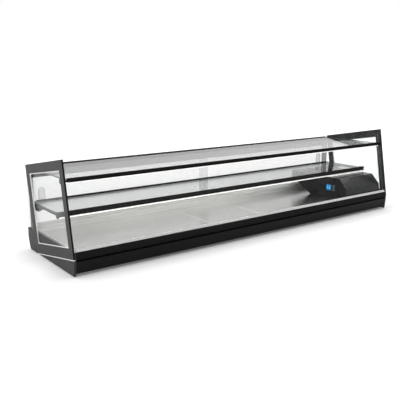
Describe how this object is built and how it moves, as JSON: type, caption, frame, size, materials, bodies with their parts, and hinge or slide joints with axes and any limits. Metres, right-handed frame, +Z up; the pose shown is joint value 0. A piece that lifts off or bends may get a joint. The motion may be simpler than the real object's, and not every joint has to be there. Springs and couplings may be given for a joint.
{
  "type": "hot food display case",
  "caption": "Two-tier heated countertop display case with raked end frames, glass shelves, lit rails, a control housing and sliding rear doors.",
  "frame": {"origin": "on the counter, under the middle of the base", "axes": "+X to the right along the counter, +Y to the rear serving side, +Z up"},
  "size_m": [1.6, 0.3942, 0.374],
  "materials": {
    "black_paint": "satin",
    "grey_paint": "satin",
    "polished_steel": "polished",
    "zinc_steel": "satin",
    "heater_mat": "matte",
    "mineral_wool": "matte",
    "clear_glass": "polished",
    "pale_seal": "satin",
    "light_cover": "satin",
    "light_board": "satin",
    "track_plastic": "satin",
    "door_panel": "polished",
    "pull_plastic": "gloss",
    "housing_plastic": "gloss",
    "display_lens": "polished",
    "display_module": "gloss",
    "key_plastic": "satin",
    "circuit_board": "satin",
    "wire": "matte",
    "switch_plastic": "satin",
    "rocker": "gloss",
    "rubber": "matte"
  },
  "bodies": {
    "case": {"base_pan": "black_paint", "upper_fascia": "black_paint", "lower_fascia": "black_paint", "rear_panel": "black_paint", "end_cap_left": "grey_paint", "end_cap_right": "grey_paint", "deck_pan": "polished_steel", "deck_heaters": "heater_mat", "deck_insulation": "mineral_wool", "deck_probe": "zinc_steel", "front_glass_channel": "polished_steel", "front_glass_gasket": "pale_seal", "front_glass": "clear_glass", "end_frame_left": "grey_paint", "end_frame_right": "grey_paint", "end_glass_left": "clear_glass", "end_glass_right": "clear_glass", "end_bead_left": "pale_seal", "end_bead_right": "pale_seal", "end_seal_left": "pale_seal", "end_seal_right": "pale_seal", "frame_screws": "zinc_steel", "top_front_rail": "black_paint", "top_rear_rail": "black_paint", "top_shelf_glass": "clear_glass", "top_light_board": "light_board", "top_light_cover": "light_cover", "mid_front_rail": "black_paint", "mid_rail_end_caps": "grey_paint", "mid_rear_rail": "black_paint", "mid_bracket_left": "grey_paint", "mid_bracket_right": "grey_paint", "mid_shelf_glass": "clear_glass", "mid_light_board": "light_board", "mid_light_cover": "light_cover", "shelf_pads": "pale_seal", "door_jamb_left": "track_plastic", "door_jamb_right": "track_plastic", "lower_door_track": "track_plastic", "control_housing": "housing_plastic", "control_panel": "housing_plastic", "housing_back_cover": "housing_plastic", "display_lens": "display_lens", "display_module": "display_module", "control_board": "circuit_board", "light_driver": "zinc_steel", "wiring_loom": "wire", "power_switch": "switch_plastic", "cable_gland": "switch_plastic", "feet": "rubber"},
    "left_door": {"door_left": "door_panel", "door_pull_left": "pull_plastic", "door_glides_left": "track_plastic"},
    "right_door": {"door_right": "door_panel", "door_pull_right": "pull_plastic", "door_glides_right": "track_plastic"},
    "power_key": {"key_power": "key_plastic"},
    "up_key": {"key_up": "key_plastic"},
    "down_key": {"key_down": "key_plastic"},
    "rocker": {"power_rocker": "rocker"}
  },
  "joints": [
    {"name": "left_door_slide", "type": "slide", "parent": "case", "child": "left_door", "axis": [1, 0, 0], "range_m": [0, 0.764]},
    {"name": "right_door_slide", "type": "slide", "parent": "case", "child": "right_door", "axis": [-1, 0, 0], "range_m": [0, 0.764]},
    {"name": "power_key_press", "type": "slide", "parent": "case", "child": "power_key", "axis": [1, 0, 0], "range_m": [0, 0.0008], "stiffness_N_per_m": 300},
    {"name": "up_key_press", "type": "slide", "parent": "case", "child": "up_key", "axis": [1, 0, 0], "range_m": [0, 0.0008], "stiffness_N_per_m": 300},
    {"name": "down_key_press", "type": "slide", "parent": "case", "child": "down_key", "axis": [1, 0, 0], "range_m": [0, 0.0008], "stiffness_N_per_m": 300},
    {"name": "rocker_tip", "type": "hinge", "parent": "case", "child": "rocker", "pos_m": [0.69, 0.192, 0.058], "axis": [1, 0, 0], "range_deg": [0, 24]}
  ]
}
